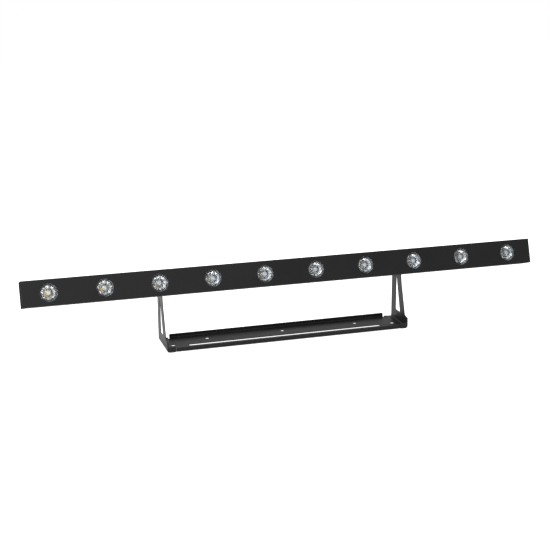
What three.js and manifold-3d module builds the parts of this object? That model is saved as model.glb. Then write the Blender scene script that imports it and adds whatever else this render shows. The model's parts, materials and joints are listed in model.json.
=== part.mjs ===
// A one-metre LED batten light on a folded floor bracket. Millimetres, +Z up, front toward -Y.
// The origin is on the floor, in the middle of the bracket's base plate. The lamp body tilts in
// the bracket about one axis along X, and is modelled leaning back by REST_TILT.
import * as THREE from "three";
import { mergeVertices } from "three/addons/utils/BufferGeometryUtils.js";
import Module from "manifold-3d";

const wasm = await Module();
wasm.setup();

// ---- driving dimensions -------------------------------------------------------------------
const GAP = 0.3; // clearance between pieces that touch

// bracket
const SHEET = 1.5;
const SPAN = 480; // over the outsides of the two arms
const BASE_DEPTH = 83;
const FLANGE_HEIGHT = 9;
const FRONT_FLANGE_HALF = 222;
const REAR_FLANGE_HALF = 219.5;
const TAB_WIDTH = 16;
const TAB_HEIGHT = 11;
const FRONT_Y = -BASE_DEPTH / 2;
const REAR_Y = BASE_DEPTH / 2;
const SLOT_Y = FRONT_Y + 31;
const SLOT_HALF = 193.6;
const SLOT_WIDTH = 8.6;
const BOLT_HOLE = { y: FRONT_Y + 58.9, radius: 4.1, pitch: 150.5 };
const END_HOLE = { y: FRONT_Y + 37.7, radius: 4.4, x: 221.3 };

// tilt axis
const PIVOT_Y = 25.6;
const PIVOT_Z = 114;
const REST_TILT = THREE.MathUtils.degToRad(18.5);
const STUD_RADIUS = 4;
const BUSH_RADIUS = STUD_RADIUS + 2;

// lamp body, in its own frame: origin on the tilt axis, y into the depth, z up the front face
const BODY_LENGTH = 996;
const BODY_HEIGHT = 48;
const BODY_DEPTH = 40;
const FACE_Y = -70; // front face to tilt axis
const PANEL = 2;
const END_CAP = 3;
const WALL = 2;
const LENS_COUNT = 10;
const LENS_PITCH = 100;
const LENS_FRONT_Y = FACE_Y + PANEL + GAP;
const BOARD_Y = FACE_Y + 22.4;
const BOARD = 1.6;
const APERTURE_RADIUS = 16.15;
const LENS_SIDES = 20;

// driver case on the back of the lamp body
const WASHER = 2; // friction washer between each arm and the case
const CASE_HALF = SPAN / 2 - SHEET - WASHER - 2 * GAP;
const CASE_HEIGHT = 40;
const CASE_WALL = 1.5;
const CASE_FRONT_Y = FACE_Y + BODY_DEPTH + GAP;
const CASE_REAR_Y = 16;
const COVER = 1.7;
const COVER_Y = CASE_REAR_Y - COVER;
const SOCKET_PLACES = { power_in: -195, data_in: -150, data_out: 150, power_out: 195 };
const SOCKET_RADIUS = 11.6;
const SOCKET_FLANGE = [26, 31];
const FLANGE_THICKNESS = 2;
const SOCKET_FACE_Y = CASE_REAR_Y + GAP + FLANGE_THICKNESS;
const BUTTON_PLACES = { menu: 6, up: 20, down: 34, enter: 48 };
const BUTTON_RADIUS = 3.2;
const DISPLAY_X = -22;
const DISPLAY_SIZE = [32, 14];
const FUSE_X = -110;
const FUSE_RADIUS = 6.5;
const CABLE_HOLE = { x: [-30, 30], z: [-6, 6] }; // through the backs of housing and case

// ---- materials ----------------------------------------------------------------------------
const finish = (color, roughness, metalness) => () =>
  new THREE.MeshStandardMaterial({ color, roughness, metalness });
const satinBlack = finish(0x1c1c1d, 0.5, 0.2);
const anodised = finish(0x202021, 0.45, 0.6);
const clearAcrylic = finish(0xdfe6ea, 0.08, 0);
const silvered = finish(0xc4c6c6, 0.3, 0.6);
const phosphor = finish(0xe3bf58, 0.6, 0);
const whiteBoard = finish(0xe8e9e6, 0.5, 0);
const greenBoard = finish(0x1d5a38, 0.5, 0);
const blackPlastic = finish(0x151516, 0.55, 0);
const bluePlastic = finish(0x1f4f9c, 0.5, 0);
const greyPlastic = finish(0xa9abab, 0.5, 0);
const steel = finish(0x9c9ea1, 0.35, 0.9);
const nylon = finish(0xd8d8d2, 0.6, 0);

// ---- geometry helpers ---------------------------------------------------------------------
const points = (pairs) => pairs.map((pair) => new THREE.Vector2(...pair));
const basis = (...axes) => new THREE.Matrix4().makeBasis(...axes.map((axis) => new THREE.Vector3(...axis)));
const ALONG_X = basis([0, 1, 0], [0, 0, 1], [1, 0, 0]); // outline in y, z
const ALONG_Y = basis([1, 0, 0], [0, 0, 1], [0, -1, 0]); // outline in x, z

// A closed solid for joining and cutting, from any closed three.js geometry.
function solid(geometry) {
  const bare = geometry.index ? geometry.clone() : geometry;
  bare.deleteAttribute("normal");
  bare.deleteAttribute("uv");
  const merged = mergeVertices(bare, 1e-4);
  return new wasm.Manifold(
    new wasm.Mesh({
      numProp: 3,
      vertProperties: Float32Array.from(merged.attributes.position.array),
      triVerts: Uint32Array.from(merged.index.array),
    }),
  );
}

function geometryOf(manifold) {
  const mesh = manifold.getMesh();
  const position = new THREE.BufferAttribute(Float32Array.from(mesh.vertProperties), 3);
  const geometry = new THREE.BufferGeometry();
  geometry.setAttribute("position", position);
  geometry.setIndex(new THREE.BufferAttribute(Uint32Array.from(mesh.triVerts), 1));
  geometry.computeVertexNormals();
  return geometry;
}

function block([x0, x1], [y0, y1], [z0, z1]) {
  const box = new THREE.BoxGeometry(x1 - x0, y1 - y0, z1 - z0);
  box.translate((x0 + x1) / 2, (y0 + y1) / 2, (z0 + z1) / 2);
  return solid(box);
}

// An outline extruded along an axis from low to high. Along Y the outline is drawn in x and z.
function extrude(shape, axis, [low, high], curveSegments = 6) {
  const settings = { depth: high - low, bevelEnabled: false, curveSegments };
  const geometry = new THREE.ExtrudeGeometry(shape, settings);
  if (axis === "x") geometry.applyMatrix4(ALONG_X).translate(low, 0, 0);
  if (axis === "y") geometry.applyMatrix4(ALONG_Y).translate(0, high, 0);
  if (axis === "z") geometry.translate(0, 0, low);
  return solid(geometry);
}

// A profile of [radius, height] points revolved about +Y. It runs toward +Y on its outside, and
// starts and ends on the axis or, for a ring, is closed here.
function lathe(profile, sides) {
  const loop = profile[0][0] > 0 ? [...profile, profile[0]] : profile;
  return new THREE.LatheGeometry(points(loop), sides);
}

const turned = (profile, x = 0, sides = LENS_SIDES) => solid(lathe(profile, sides).translate(x, 0, 0));

// The same about +X, with each profile point's height measured along X.
const turnedAboutX = (profile, sides = 24) => solid(lathe(profile, sides).rotateZ(-Math.PI / 2));

// A plain cylinder about +Y, or about +X.
const rod = (radius, [low, high]) => [[0, low], [radius, low], [radius, high], [0, high]];

const circle = (x, y, radius) => new THREE.Path().absarc(x, y, radius, 0, 2 * Math.PI, false);

function rectangle([width, height], x = 0) {
  const [w, h] = [width / 2, height / 2];
  return new THREE.Shape(points([[x - w, -h], [x + w, -h], [x + w, h], [x - w, h]]));
}

// A closed outline with each corner rounded to its own radius: corners are [a, b, radius].
function rounded(corners, path = new THREE.Shape()) {
  corners.forEach(([a, b, radius], i) => {
    const corner = new THREE.Vector2(a, b);
    const neighbours = [corners.at(i - 1), corners[(i + 1) % corners.length]];
    const [before, after] = neighbours.map(([x, y]) => new THREE.Vector2(x, y).sub(corner).normalize());
    const half = Math.acos(before.dot(after)) / 2;
    const inward = before.clone().add(after).normalize().multiplyScalar(radius / Math.sin(half));
    const toEnd = (side) => side.clone().multiplyScalar(radius / Math.tan(half)).sub(inward).angle();
    path.absarc(a + inward.x, b + inward.y, radius, toEnd(before), toEnd(after), before.cross(after) > 0);
  });
  path.closePath();
  return path;
}

const mirrored = (manifold) => manifold.mirror([1, 0, 0]);

// ---- bracket ------------------------------------------------------------------------------
function basePlate() {
  const half = SPAN / 2 - SHEET - GAP;
  const notch = SPAN / 2 - TAB_WIDTH - GAP;
  const notchY = FRONT_Y + SHEET + GAP;
  const rightHalf = [[notch, FRONT_Y], [notch, notchY], [half, notchY], [half, REAR_Y]];
  const leftHalf = rightHalf.map(([x, y]) => [-x, y]).reverse();
  const plate = new THREE.Shape(points([...rightHalf, ...leftHalf]));
  const slotEnd = SLOT_WIDTH / 2;
  const slot = new THREE.Path();
  slot.absarc(SLOT_HALF - slotEnd, SLOT_Y, slotEnd, -Math.PI / 2, Math.PI / 2, false);
  slot.absarc(slotEnd - SLOT_HALF, SLOT_Y, slotEnd, Math.PI / 2, (3 * Math.PI) / 2, false);
  plate.holes.push(slot);
  for (const step of [-1, 0, 1]) {
    plate.holes.push(circle(step * BOLT_HOLE.pitch, BOLT_HOLE.y, BOLT_HOLE.radius));
  }
  for (const side of [-1, 1]) plate.holes.push(circle(side * END_HOLE.x, END_HOLE.y, END_HOLE.radius));
  const flange = (reach, ys) => block([-reach, reach], ys, [0, FLANGE_HEIGHT]);
  const front = flange(FRONT_FLANGE_HALF, [FRONT_Y, FRONT_Y + SHEET]);
  const rear = flange(REAR_FLANGE_HALF, [REAR_Y - SHEET, REAR_Y]);
  return extrude(plate, "z", [0, SHEET], 8).add(front).add(rear);
}

// The left arm's plate, drawn in y and z, with its foot, round head, pivot hole and cut-out.
function leftArm() {
  const headRadius = REAR_Y - PIVOT_Y;
  const neck = [-2.4, 97];
  const kink = [-5.6, 81];
  const ankle = [-25.2, 21.9];
  const footTop = 19.3;
  const toNeck = new THREE.Vector2(neck[0] - PIVOT_Y, neck[1] - PIVOT_Z);
  const tangent = toNeck.angle() - Math.acos(headRadius / toNeck.length());
  const arm = new THREE.Shape();
  arm.moveTo(FRONT_Y, 0);
  arm.lineTo(REAR_Y, 0);
  arm.absarc(PIVOT_Y, PIVOT_Z, headRadius, 0, tangent, false);
  arm.lineTo(...neck);
  arm.lineTo(...kink);
  arm.lineTo(...ankle);
  arm.lineTo(FRONT_Y, footTop);
  arm.closePath();
  arm.holes.push(circle(PIVOT_Y, PIVOT_Z, STUD_RADIUS + GAP));
  const cutOut = [[-3, 21, 3], [20.8, 21, 2.5], [20.8, 101, 2]];
  arm.holes.push(rounded(cutOut, new THREE.Path()));
  const outside = -SPAN / 2;
  const tab = block([outside, outside + TAB_WIDTH], [FRONT_Y, FRONT_Y + SHEET], [0, TAB_HEIGHT]);
  return extrude(arm, "x", [outside, outside + SHEET], 12).add(tab);
}

// ---- lamp body ----------------------------------------------------------------------------
const lensX = (i) => (i - (LENS_COUNT - 1) / 2) * LENS_PITCH;
const lensNumbers = Array.from({ length: LENS_COUNT }, (_, i) => i);

function frontPanel() {
  const panel = rectangle([BODY_LENGTH, BODY_HEIGHT]);
  for (const i of lensNumbers) panel.holes.push(circle(lensX(i), 0, APERTURE_RADIUS));
  return extrude(panel, "y", [FACE_Y, FACE_Y + PANEL], 16);
}

// Channel section open to the front, with a shelf on each side for the LED board and shallow
// cooling grooves along the back.
function housing() {
  const back = FACE_Y + BODY_DEPTH;
  const outer = BODY_HEIGHT / 2;
  const inner = outer - WALL;
  const shelfEdge = inner - 3;
  const shelf = [BOARD_Y + BOARD + GAP, BOARD_Y + 2 * BOARD + GAP];
  const half = [
    [LENS_FRONT_Y, outer],
    [LENS_FRONT_Y, inner],
    [shelf[0], inner],
    [shelf[0], shelfEdge],
    [shelf[1], shelfEdge],
    [shelf[1], inner],
    [back - WALL, inner],
  ];
  const groove = { pitch: 7, width: 3, depth: 0.9 };
  const backEdge = [];
  for (const step of [3, 2, 1, 0, -1, -2, -3]) {
    const z = step * groove.pitch;
    backEdge.push([back, z + groove.width / 2], [back - groove.depth, z + groove.width / 2]);
    backEdge.push([back - groove.depth, z - groove.width / 2], [back, z - groove.width / 2]);
  }
  const lowerHalf = half.map(([y, z]) => [y, -z]).reverse();
  const outline = [...half, ...lowerHalf, [back, -outer], ...backEdge.reverse(), [back, outer]];
  const section = new THREE.Shape(points(outline));
  const reach = BODY_LENGTH / 2 - END_CAP - GAP;
  const cableHole = block(CABLE_HOLE.x, [back - 2 * WALL, back + WALL], CABLE_HOLE.z);
  return extrude(section, "x", [-reach, reach]).subtract(cableHole);
}

function leftEndCap() {
  const outside = -BODY_LENGTH / 2;
  const edge = BODY_HEIGHT / 2;
  return block([outside, outside + END_CAP], [LENS_FRONT_Y, FACE_Y + BODY_DEPTH], [-edge, edge]);
}

function ledBoard() {
  const half = BODY_HEIGHT / 2 - WALL - GAP;
  const reach = BODY_LENGTH / 2 - END_CAP - 5;
  return block([-reach, reach], [BOARD_Y, BOARD_Y + BOARD], [-half, half]);
}

// Collimating lens: flanged front with a dish in its middle, curved flank, and a pit for the emitter.
function lens(x) {
  const dish = [[0, 3.4], [4.4, 4.6], [5.5, 0]];
  const flange = [[17.6, 0], [17.6, 1.7], [13.3, 1.9]];
  const flank = [[11.6, 5], [9.9, 8], [8.2, 10.7], [6.5, 13.1], [4.8, 15.6]];
  const pit = [[4.3, 15.6], [4, 11.9], [0, 12.7]];
  const profile = [...dish, ...flange, ...flank, ...pit];
  return turned(profile.map(([radius, depth]) => [radius, LENS_FRONT_Y + depth]), x);
}

// Round cup between the lens's flange and the LED board, open over the emitter.
function lensHolder(x) {
  const top = LENS_FRONT_Y + 2.3;
  const foot = BOARD_Y - GAP - top;
  const seat = [[15.7, 0], [18.6, 0], [18.6, 1.8], [16.9, 2.4]];
  const floor = [[16.9, foot], [9.8, foot], [9.8, foot - 1.3], [15.5, foot - 1.3]];
  return turned([...seat, ...floor].map(([radius, depth]) => [radius, top + depth]), x);
}

function ledEmitter(x) {
  const seat = BOARD_Y - GAP;
  const half = 6.5;
  const base = block([x - half, x + half], [seat - 1.9, seat], [-half, half]);
  const dome = [[0, seat - 4], [1.4, seat - 3.7], [2.3, seat - 2.9], [2.5, seat - 1.6], [0, seat - 1.6]];
  return base.add(turned(dome, x, 12));
}

// ---- driver case --------------------------------------------------------------------------
function driverTray() {
  const z = CASE_HEIGHT / 2;
  const shell = block([-CASE_HALF, CASE_HALF], [CASE_FRONT_Y, COVER_Y - GAP], [-z, z]);
  const inside = block(
    [-CASE_HALF + CASE_WALL, CASE_HALF - CASE_WALL],
    [CASE_FRONT_Y + CASE_WALL, COVER_Y + 1],
    [-z + CASE_WALL, z - CASE_WALL],
  );
  const cableHole = block(CABLE_HOLE.x, [CASE_FRONT_Y - 1, CASE_FRONT_Y + 2 * CASE_WALL], CABLE_HOLE.z);
  const pivotHole = turnedAboutX(rod(BUSH_RADIUS + GAP, [-SPAN / 2, SPAN / 2]));
  return shell.subtract(inside).subtract(cableHole).subtract(pivotHole);
}

function driverCover() {
  const cut = [COVER_Y - 1, CASE_REAR_Y + 1];
  const bore = (x, radius) => turned(rod(radius + GAP, cut), x);
  const window = (x, size) => {
    const [width, height] = size.map((side) => side / 2 + GAP);
    return block([x - width, x + width], cut, [-height, height]);
  };
  const vent = { size: [2.4, 22], pitch: 7, x: 78 };
  const vents = [-2, -1, 0, 1, 2].flatMap((step) =>
    [-vent.x, vent.x].map((x) => window(x + step * vent.pitch, vent.size)),
  );
  const openings = [
    ...Object.values(SOCKET_PLACES).map((x) => bore(x, SOCKET_RADIUS)),
    ...Object.values(BUTTON_PLACES).map((x) => bore(x, BUTTON_RADIUS)),
    bore(FUSE_X, FUSE_RADIUS),
    window(DISPLAY_X, DISPLAY_SIZE),
    ...vents,
  ];
  const half = CASE_HEIGHT / 2;
  const plate = block([-CASE_HALF, CASE_HALF], [COVER_Y, CASE_REAR_Y], [-half, half]);
  return openings.reduce((cover, opening) => cover.subtract(opening), plate);
}

// Enclosed supply in the case's left half, with its terminal block toward the middle.
function powerSupply() {
  const front = CASE_FRONT_Y + 3;
  const body = block([-225, -20], [front, -10], [-16, 16]);
  const terminals = block([-21, -10], [front, -18], [-12, 12]);
  return body.add(terminals);
}

// Circuit board under the display and buttons, with a processor and a cable header on its far side.
function controlBoard() {
  const front = -2;
  const board = block([-45, 70], [front, front + BOARD], [-16, 16]);
  const processor = block([10, 22], [front - 1.4, front + 0.1], [-6, 6]);
  const header = block([-40, -30], [front - 8, front + 0.1], [-10, 10]);
  return board.add(processor).add(header);
}

function displayWindow() {
  const [width, height] = DISPLAY_SIZE.map((side) => side / 2);
  return block([DISPLAY_X - width, DISPLAY_X + width], [COVER_Y - 3, CASE_REAR_Y + 0.4], [-height, height]);
}

function button(x) {
  const [stem, body, collar] = [BUTTON_RADIUS - 1, BUTTON_RADIUS, BUTTON_RADIUS + 1];
  const [foot, shoulder, stop] = [1, COVER_Y - 3, COVER_Y - GAP];
  const [edge, top] = [CASE_REAR_Y + 1.5, CASE_REAR_Y + 2];
  const lower = [[0, foot], [stem, foot], [stem, shoulder], [collar, shoulder], [collar, stop]];
  const upper = [[body, stop], [body, edge], [body - 0.6, top], [0, top]];
  return turned([...lower, ...upper], x, 16);
}

// A panel socket with a square flange on the outside of the cover and an open round mouth.
function socket(x, mouthRadius, mouthDepth) {
  const flange = rectangle(SOCKET_FLANGE, x);
  flange.holes.push(circle(x, 0, mouthRadius));
  const plate = extrude(flange, "y", [CASE_REAR_Y + GAP, SOCKET_FACE_Y], 12);
  const floor = SOCKET_FACE_Y - mouthDepth;
  const barrel = turned(rod(SOCKET_RADIUS, [floor - 3, SOCKET_FACE_Y - 1]), x, 24);
  const hollow = turned(rod(mouthRadius, [floor, SOCKET_FACE_Y + 1]), x, 24);
  return plate.add(barrel).subtract(hollow);
}

function releaseTab(x) {
  return block([x - 4, x + 4], [SOCKET_FACE_Y + GAP, SOCKET_FACE_Y + 2.2], [11.6, 15.2]);
}

function fuseHolder() {
  const seat = CASE_REAR_Y + GAP;
  const [foot, floor, bore, flange] = [-8, 6, 5.6, 8.5];
  const barrel = [[0, foot], [FUSE_RADIUS, foot], [FUSE_RADIUS, seat]];
  const rim = [[flange, seat], [flange, SOCKET_FACE_Y], [bore, SOCKET_FACE_Y]];
  return turned([...barrel, ...rim, [bore, floor], [0, floor]], FUSE_X, 24);
}

function fuseCap() {
  const y = SOCKET_FACE_Y + GAP;
  const [tip, stem, radius, thickness] = [8, 5.2, 7, 4.3];
  const top = y + thickness;
  const head = [[radius, y], [radius, top - 0.6], [radius - 0.6, top], [0, top]];
  const cap = turned([[0, tip], [stem, tip], [stem, y], ...head], FUSE_X, 24);
  const coinSlot = block([FUSE_X - 4.5, FUSE_X + 4.5], [top - 1.4, top + 1], [-0.7, 0.7]);
  return cap.subtract(coinSlot);
}

// ---- tilt pivot ---------------------------------------------------------------------------
// The clamp knob outside the left arm: a lobed grip and a stud through arm, washer and bush.
function leftKnob() {
  const inside = -SPAN / 2 - GAP;
  const tip = -CASE_HALF + 12;
  const lobes = 6;
  const gripPoints = 24;
  const grip = new THREE.Shape(
    Array.from({ length: gripPoints }, (_, i) => {
      const angle = (2 * Math.PI * i) / gripPoints;
      const radius = 14.6 + 1.4 * Math.cos(lobes * angle);
      return new THREE.Vector2(radius * Math.cos(angle), radius * Math.sin(angle));
    }),
  );
  const collar = turnedAboutX(rod(9, [inside - 4, inside]));
  const stud = turnedAboutX(rod(STUD_RADIUS, [inside - 1, tip]));
  return extrude(grip, "x", [inside - 16, inside - 3]).add(collar).add(stud);
}

function leftWasher() {
  const [low, high] = [-CASE_HALF - GAP - WASHER, -CASE_HALF - GAP];
  const [bore, outer] = [STUD_RADIUS + GAP, 13];
  return turnedAboutX([[bore, low], [outer, low], [outer, high], [bore, high]]);
}

// A flanged threaded bush, held from inside the case by its wider head.
function leftBush() {
  const seat = -CASE_HALF + CASE_WALL + GAP;
  const head = { radius: BUSH_RADIUS + 3, end: seat + 7 };
  const bore = STUD_RADIUS + GAP;
  const neck = [[bore, -CASE_HALF], [BUSH_RADIUS, -CASE_HALF], [BUSH_RADIUS, seat]];
  return turnedAboutX([...neck, [head.radius, seat], [head.radius, head.end], [bore, head.end]]);
}

// ---- assembly -----------------------------------------------------------------------------
const batten = new THREE.Group();
const lampBody = new THREE.Group();
lampBody.position.set(0, PIVOT_Y, PIVOT_Z);
lampBody.rotation.x = -REST_TILT;
batten.add(lampBody);

function place(group, name, manifold, material) {
  const mesh = new THREE.Mesh(geometryOf(manifold), material());
  mesh.name = name;
  group.add(mesh);
}

function placePair(group, name, left, material) {
  place(group, `${name}_left`, left, material);
  place(group, `${name}_right`, mirrored(left), material);
}

place(batten, "base_plate", basePlate(), satinBlack);
placePair(batten, "bracket_arm", leftArm(), satinBlack);

place(lampBody, "front_panel", frontPanel(), satinBlack);
place(lampBody, "housing", housing(), anodised);
placePair(lampBody, "end_cap", leftEndCap(), anodised);
place(lampBody, "led_board", ledBoard(), whiteBoard);
for (const i of lensNumbers) {
  const number = String(i + 1).padStart(2, "0");
  place(lampBody, `lens_${number}`, lens(lensX(i)), clearAcrylic);
  place(lampBody, `lens_holder_${number}`, lensHolder(lensX(i)), silvered);
  place(lampBody, `led_emitter_${number}`, ledEmitter(lensX(i)), phosphor);
}

place(lampBody, "driver_tray", driverTray(), satinBlack);
place(lampBody, "driver_cover", driverCover(), satinBlack);
place(lampBody, "power_supply", powerSupply(), steel);
place(lampBody, "control_board", controlBoard(), greenBoard);
place(lampBody, "display_window", displayWindow(), blackPlastic);
for (const [name, x] of Object.entries(BUTTON_PLACES)) {
  place(lampBody, `${name}_button`, button(x), blackPlastic);
}
place(lampBody, "power_in_socket", socket(SOCKET_PLACES.power_in, 10.4, 14), bluePlastic);
place(lampBody, "power_out_socket", socket(SOCKET_PLACES.power_out, 10.4, 14), greyPlastic);
place(lampBody, "data_in_socket", socket(SOCKET_PLACES.data_in, 9.6, 14), blackPlastic);
place(lampBody, "data_out_socket", socket(SOCKET_PLACES.data_out, 8, 6), blackPlastic);
place(lampBody, "data_out_release_tab", releaseTab(SOCKET_PLACES.data_out), steel);
place(lampBody, "fuse_holder", fuseHolder(), blackPlastic);
place(lampBody, "fuse_cap", fuseCap(), blackPlastic);

placePair(lampBody, "clamp_knob", leftKnob(), blackPlastic);
placePair(lampBody, "friction_washer", leftWasher(), nylon);
placePair(lampBody, "pivot_bush", leftBush(), steel);

export default batten;
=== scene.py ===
"""Looks of the LED strip batten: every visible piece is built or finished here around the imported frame.

Shapes are drawn in millimetres and placed by one of two frames: ROW, the object's own frame, and
LAMP, the lamp body's frame, whose origin is on the tilt axis, with y into the depth and z up the face.
"""
import json
import math

import bmesh
import bpy
from mathutils import Matrix, Vector
from mathutils.geometry import tessellate_polygon


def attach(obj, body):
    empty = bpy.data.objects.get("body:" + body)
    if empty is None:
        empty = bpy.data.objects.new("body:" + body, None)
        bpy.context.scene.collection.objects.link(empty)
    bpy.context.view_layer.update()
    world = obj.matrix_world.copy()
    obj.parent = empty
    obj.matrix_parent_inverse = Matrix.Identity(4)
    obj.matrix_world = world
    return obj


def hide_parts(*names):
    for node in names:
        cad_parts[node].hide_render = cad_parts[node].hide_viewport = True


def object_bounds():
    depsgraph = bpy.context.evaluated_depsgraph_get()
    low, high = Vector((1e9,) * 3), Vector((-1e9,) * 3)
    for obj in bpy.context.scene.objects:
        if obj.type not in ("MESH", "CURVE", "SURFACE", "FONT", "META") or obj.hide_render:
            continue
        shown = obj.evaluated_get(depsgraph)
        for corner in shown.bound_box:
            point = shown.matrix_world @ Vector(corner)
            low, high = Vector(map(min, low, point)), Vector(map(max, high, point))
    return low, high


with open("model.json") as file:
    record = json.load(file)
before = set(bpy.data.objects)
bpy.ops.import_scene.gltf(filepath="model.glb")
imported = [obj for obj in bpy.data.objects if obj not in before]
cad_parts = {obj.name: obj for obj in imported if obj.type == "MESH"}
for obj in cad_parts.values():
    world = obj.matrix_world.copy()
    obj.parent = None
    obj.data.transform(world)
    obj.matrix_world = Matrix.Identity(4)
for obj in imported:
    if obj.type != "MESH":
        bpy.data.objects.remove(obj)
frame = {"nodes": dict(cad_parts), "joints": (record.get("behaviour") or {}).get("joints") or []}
CAD_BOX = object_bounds()

# ---- frames -------------------------------------------------------------------------------------
MM = 0.001
TILT_JOINT = next(joint for joint in frame["joints"] if joint["name"] == "tilt")
REST_TILT = -math.radians(TILT_JOINT["range_deg"][0])  # its lower limit is level
PIVOT = Vector(TILT_JOINT["pos_m"])
ROW = Matrix.Scale(MM, 4)
LAMP = Matrix.Translation(PIVOT) @ Matrix.Rotation(-REST_TILT, 4, "X") @ Matrix.Scale(MM, 4)

# ---- sizes, in millimetres ----------------------------------------------------------------------
SHEET = 1.5
SPAN = 480.0
BASE_DEPTH = 83.0
FLANGE_HEIGHT = 9.0
FRONT_FLANGE_HALF = 222.0
REAR_FLANGE_HALF = 219.5
TAB_WIDTH = 16.0
TAB_HEIGHT = 11.0
SLOT_FROM_FRONT = 31.0
SLOT_HALF = 193.6
SLOT_WIDTH = 8.6
BOLT_HOLES = dict(from_front=58.9, radius=4.1, pitch=150.5)
END_HOLES = dict(from_front=37.7, radius=4.4, x=221.3)
PIVOT_HOLE_RADIUS = 4.3

FACE_Y = -70.0
BODY_LENGTH = 996.0
BODY_HEIGHT = 48.0
BODY_DEPTH = 40.0
PANEL = 2.0
GAP = 0.3
LENS_COUNT = 10
LENS_PITCH = 100.0
APERTURE_RADIUS = 16.15
BOARD_Y = FACE_Y + 22.4

LENS_FRONT_Y = FACE_Y + PANEL + GAP
LENS_HEIGHT = 15.9
LENS_RIM = 13.3
LENS_FLANGE = 2.0
PIT_RADIUS = 4.0
TEETH = 8
ACRYLIC_INDEX = 1.49
EMITTER_Y = LENS_FRONT_Y + LENS_HEIGHT
PHOSPHOR_RADIUS = 1.0
FIRST_LAMP_OFFSET = 1.3

CASE_REAR_Y = 16.0
CASE_HALF = 235.9
CASE_HEIGHT = 40.0
SOCKET_FACE_Y = CASE_REAR_Y + GAP + 2.0
CONTACT_DEGREES = (30, 150, 270)

LENSES = [(f"{i + 1:02d}", (i - (LENS_COUNT - 1) / 2) * LENS_PITCH) for i in range(LENS_COUNT)]


# ---- materials ----------------------------------------------------------------------------------
class Nodes:
    """A small helper around one material's node tree."""

    def __init__(self, name):
        self.material = bpy.data.materials.new(name)
        self.material.use_nodes = True
        self.tree = self.material.node_tree
        self.shader = self.tree.nodes["Principled BSDF"]

    def add(self, kind, **inputs):
        node = self.tree.nodes.new(kind)
        for key, value in inputs.items():
            self.set(node, key.replace("_", " "), value)
        return node

    def set(self, node, socket, value):
        if isinstance(value, bpy.types.NodeSocket):
            self.tree.links.new(value, node.inputs[socket])
        else:
            node.inputs[socket].default_value = value

    def noise(self, scale, detail=4.0, roughness=0.55):
        place = self.tree.nodes.new("ShaderNodeTexCoord").outputs["Object"]
        return self.add("ShaderNodeTexNoise", Vector=place, Scale=scale, Detail=detail, Roughness=roughness)

    def spread(self, value, low, high):
        """Maps the middle of a noise's range onto low to high."""
        node = self.add("ShaderNodeMapRange", Value=value)
        node.inputs["From Min"].default_value = 0.3
        node.inputs["From Max"].default_value = 0.7
        node.inputs["To Min"].default_value = low
        node.inputs["To Max"].default_value = high
        return node.outputs["Result"]

    def mix(self, factor, first, second):
        node = self.tree.nodes.new("ShaderNodeMix")
        node.data_type = "RGBA"
        for socket, value in (("Factor", factor), ("A", first), ("B", second)):
            target = next(i for i in node.inputs if i.name == socket and i.enabled)
            if isinstance(value, bpy.types.NodeSocket):
                self.tree.links.new(value, target)
            else:
                target.default_value = value
        return next(o for o in node.outputs if o.enabled)

    def edge(self, radius, sharpness=0.1):
        """Near 1 along outside edges, from how far a rounded normal turns away from the true one."""
        bevel = self.add("ShaderNodeBevel", Radius=radius)
        true = self.tree.nodes.new("ShaderNodeNewGeometry").outputs["Normal"]
        dot = self.tree.nodes.new("ShaderNodeVectorMath")
        dot.operation = "DOT_PRODUCT"
        self.tree.links.new(bevel.outputs["Normal"], dot.inputs[0])
        self.tree.links.new(true, dot.inputs[1])
        worn = self.add("ShaderNodeMapRange", Value=dot.outputs["Value"])
        worn.inputs["From Min"].default_value = 1.0
        worn.inputs["From Max"].default_value = 1.0 - sharpness
        return worn.outputs["Result"]

    def bump(self, height, strength, distance):
        bump = self.add("ShaderNodeBump", Height=height, Strength=strength, Distance=distance)
        self.set(self.shader, "Normal", bump.outputs["Normal"])


def rgba(grey_or_rgb):
    rgb = (grey_or_rgb,) * 3 if isinstance(grey_or_rgb, float) else grey_or_rgb
    return (*rgb, 1.0)


def powder_coat(name, color, roughness, grain=900.0, worn=0.10, specular=0.5):
    """Fine-textured paint: orange-peel bump, patchy gloss and slightly burnished edges."""
    m = Nodes(name)
    broad, fine = m.noise(9.0), m.noise(grain, detail=2.0)
    shade = [rgba(tuple(c * k for c in color)) for k in (0.86, 1.14)]
    base = m.mix(m.spread(broad.outputs["Fac"], 0.0, 1.0), *shade)
    lighter = rgba(tuple(c + worn * 0.45 for c in color))
    breakup = m.spread(m.noise(60.0).outputs["Fac"], 0.0, 1.0)
    edge = m.add("ShaderNodeMath")
    edge.operation = "MULTIPLY"
    m.set(edge, 0, m.edge(0.0006))
    m.set(edge, 1, breakup)
    m.set(m.shader, "Base Color", m.mix(edge.outputs[0], base, lighter))
    m.set(m.shader, "Roughness", m.spread(broad.outputs["Fac"], roughness - 0.06, roughness + 0.06))
    m.set(m.shader, "Specular IOR Level", specular)
    m.bump(fine.outputs["Fac"], 0.35, 0.00012)
    return m.material


def moulded(name, color, roughness, grain=1400.0):
    """Moulded plastic with a faint spark-eroded grain and uneven gloss."""
    m = Nodes(name)
    broad, fine = m.noise(25.0), m.noise(grain, detail=1.0)
    shade = [rgba(tuple(c * k for c in color)) for k in (0.9, 1.1)]
    m.set(m.shader, "Base Color", m.mix(m.spread(broad.outputs["Fac"], 0.0, 1.0), *shade))
    m.set(m.shader, "Roughness", m.spread(fine.outputs["Fac"], roughness - 0.08, roughness + 0.08))
    m.bump(fine.outputs["Fac"], 0.2, 0.00008)
    return m.material


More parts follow.
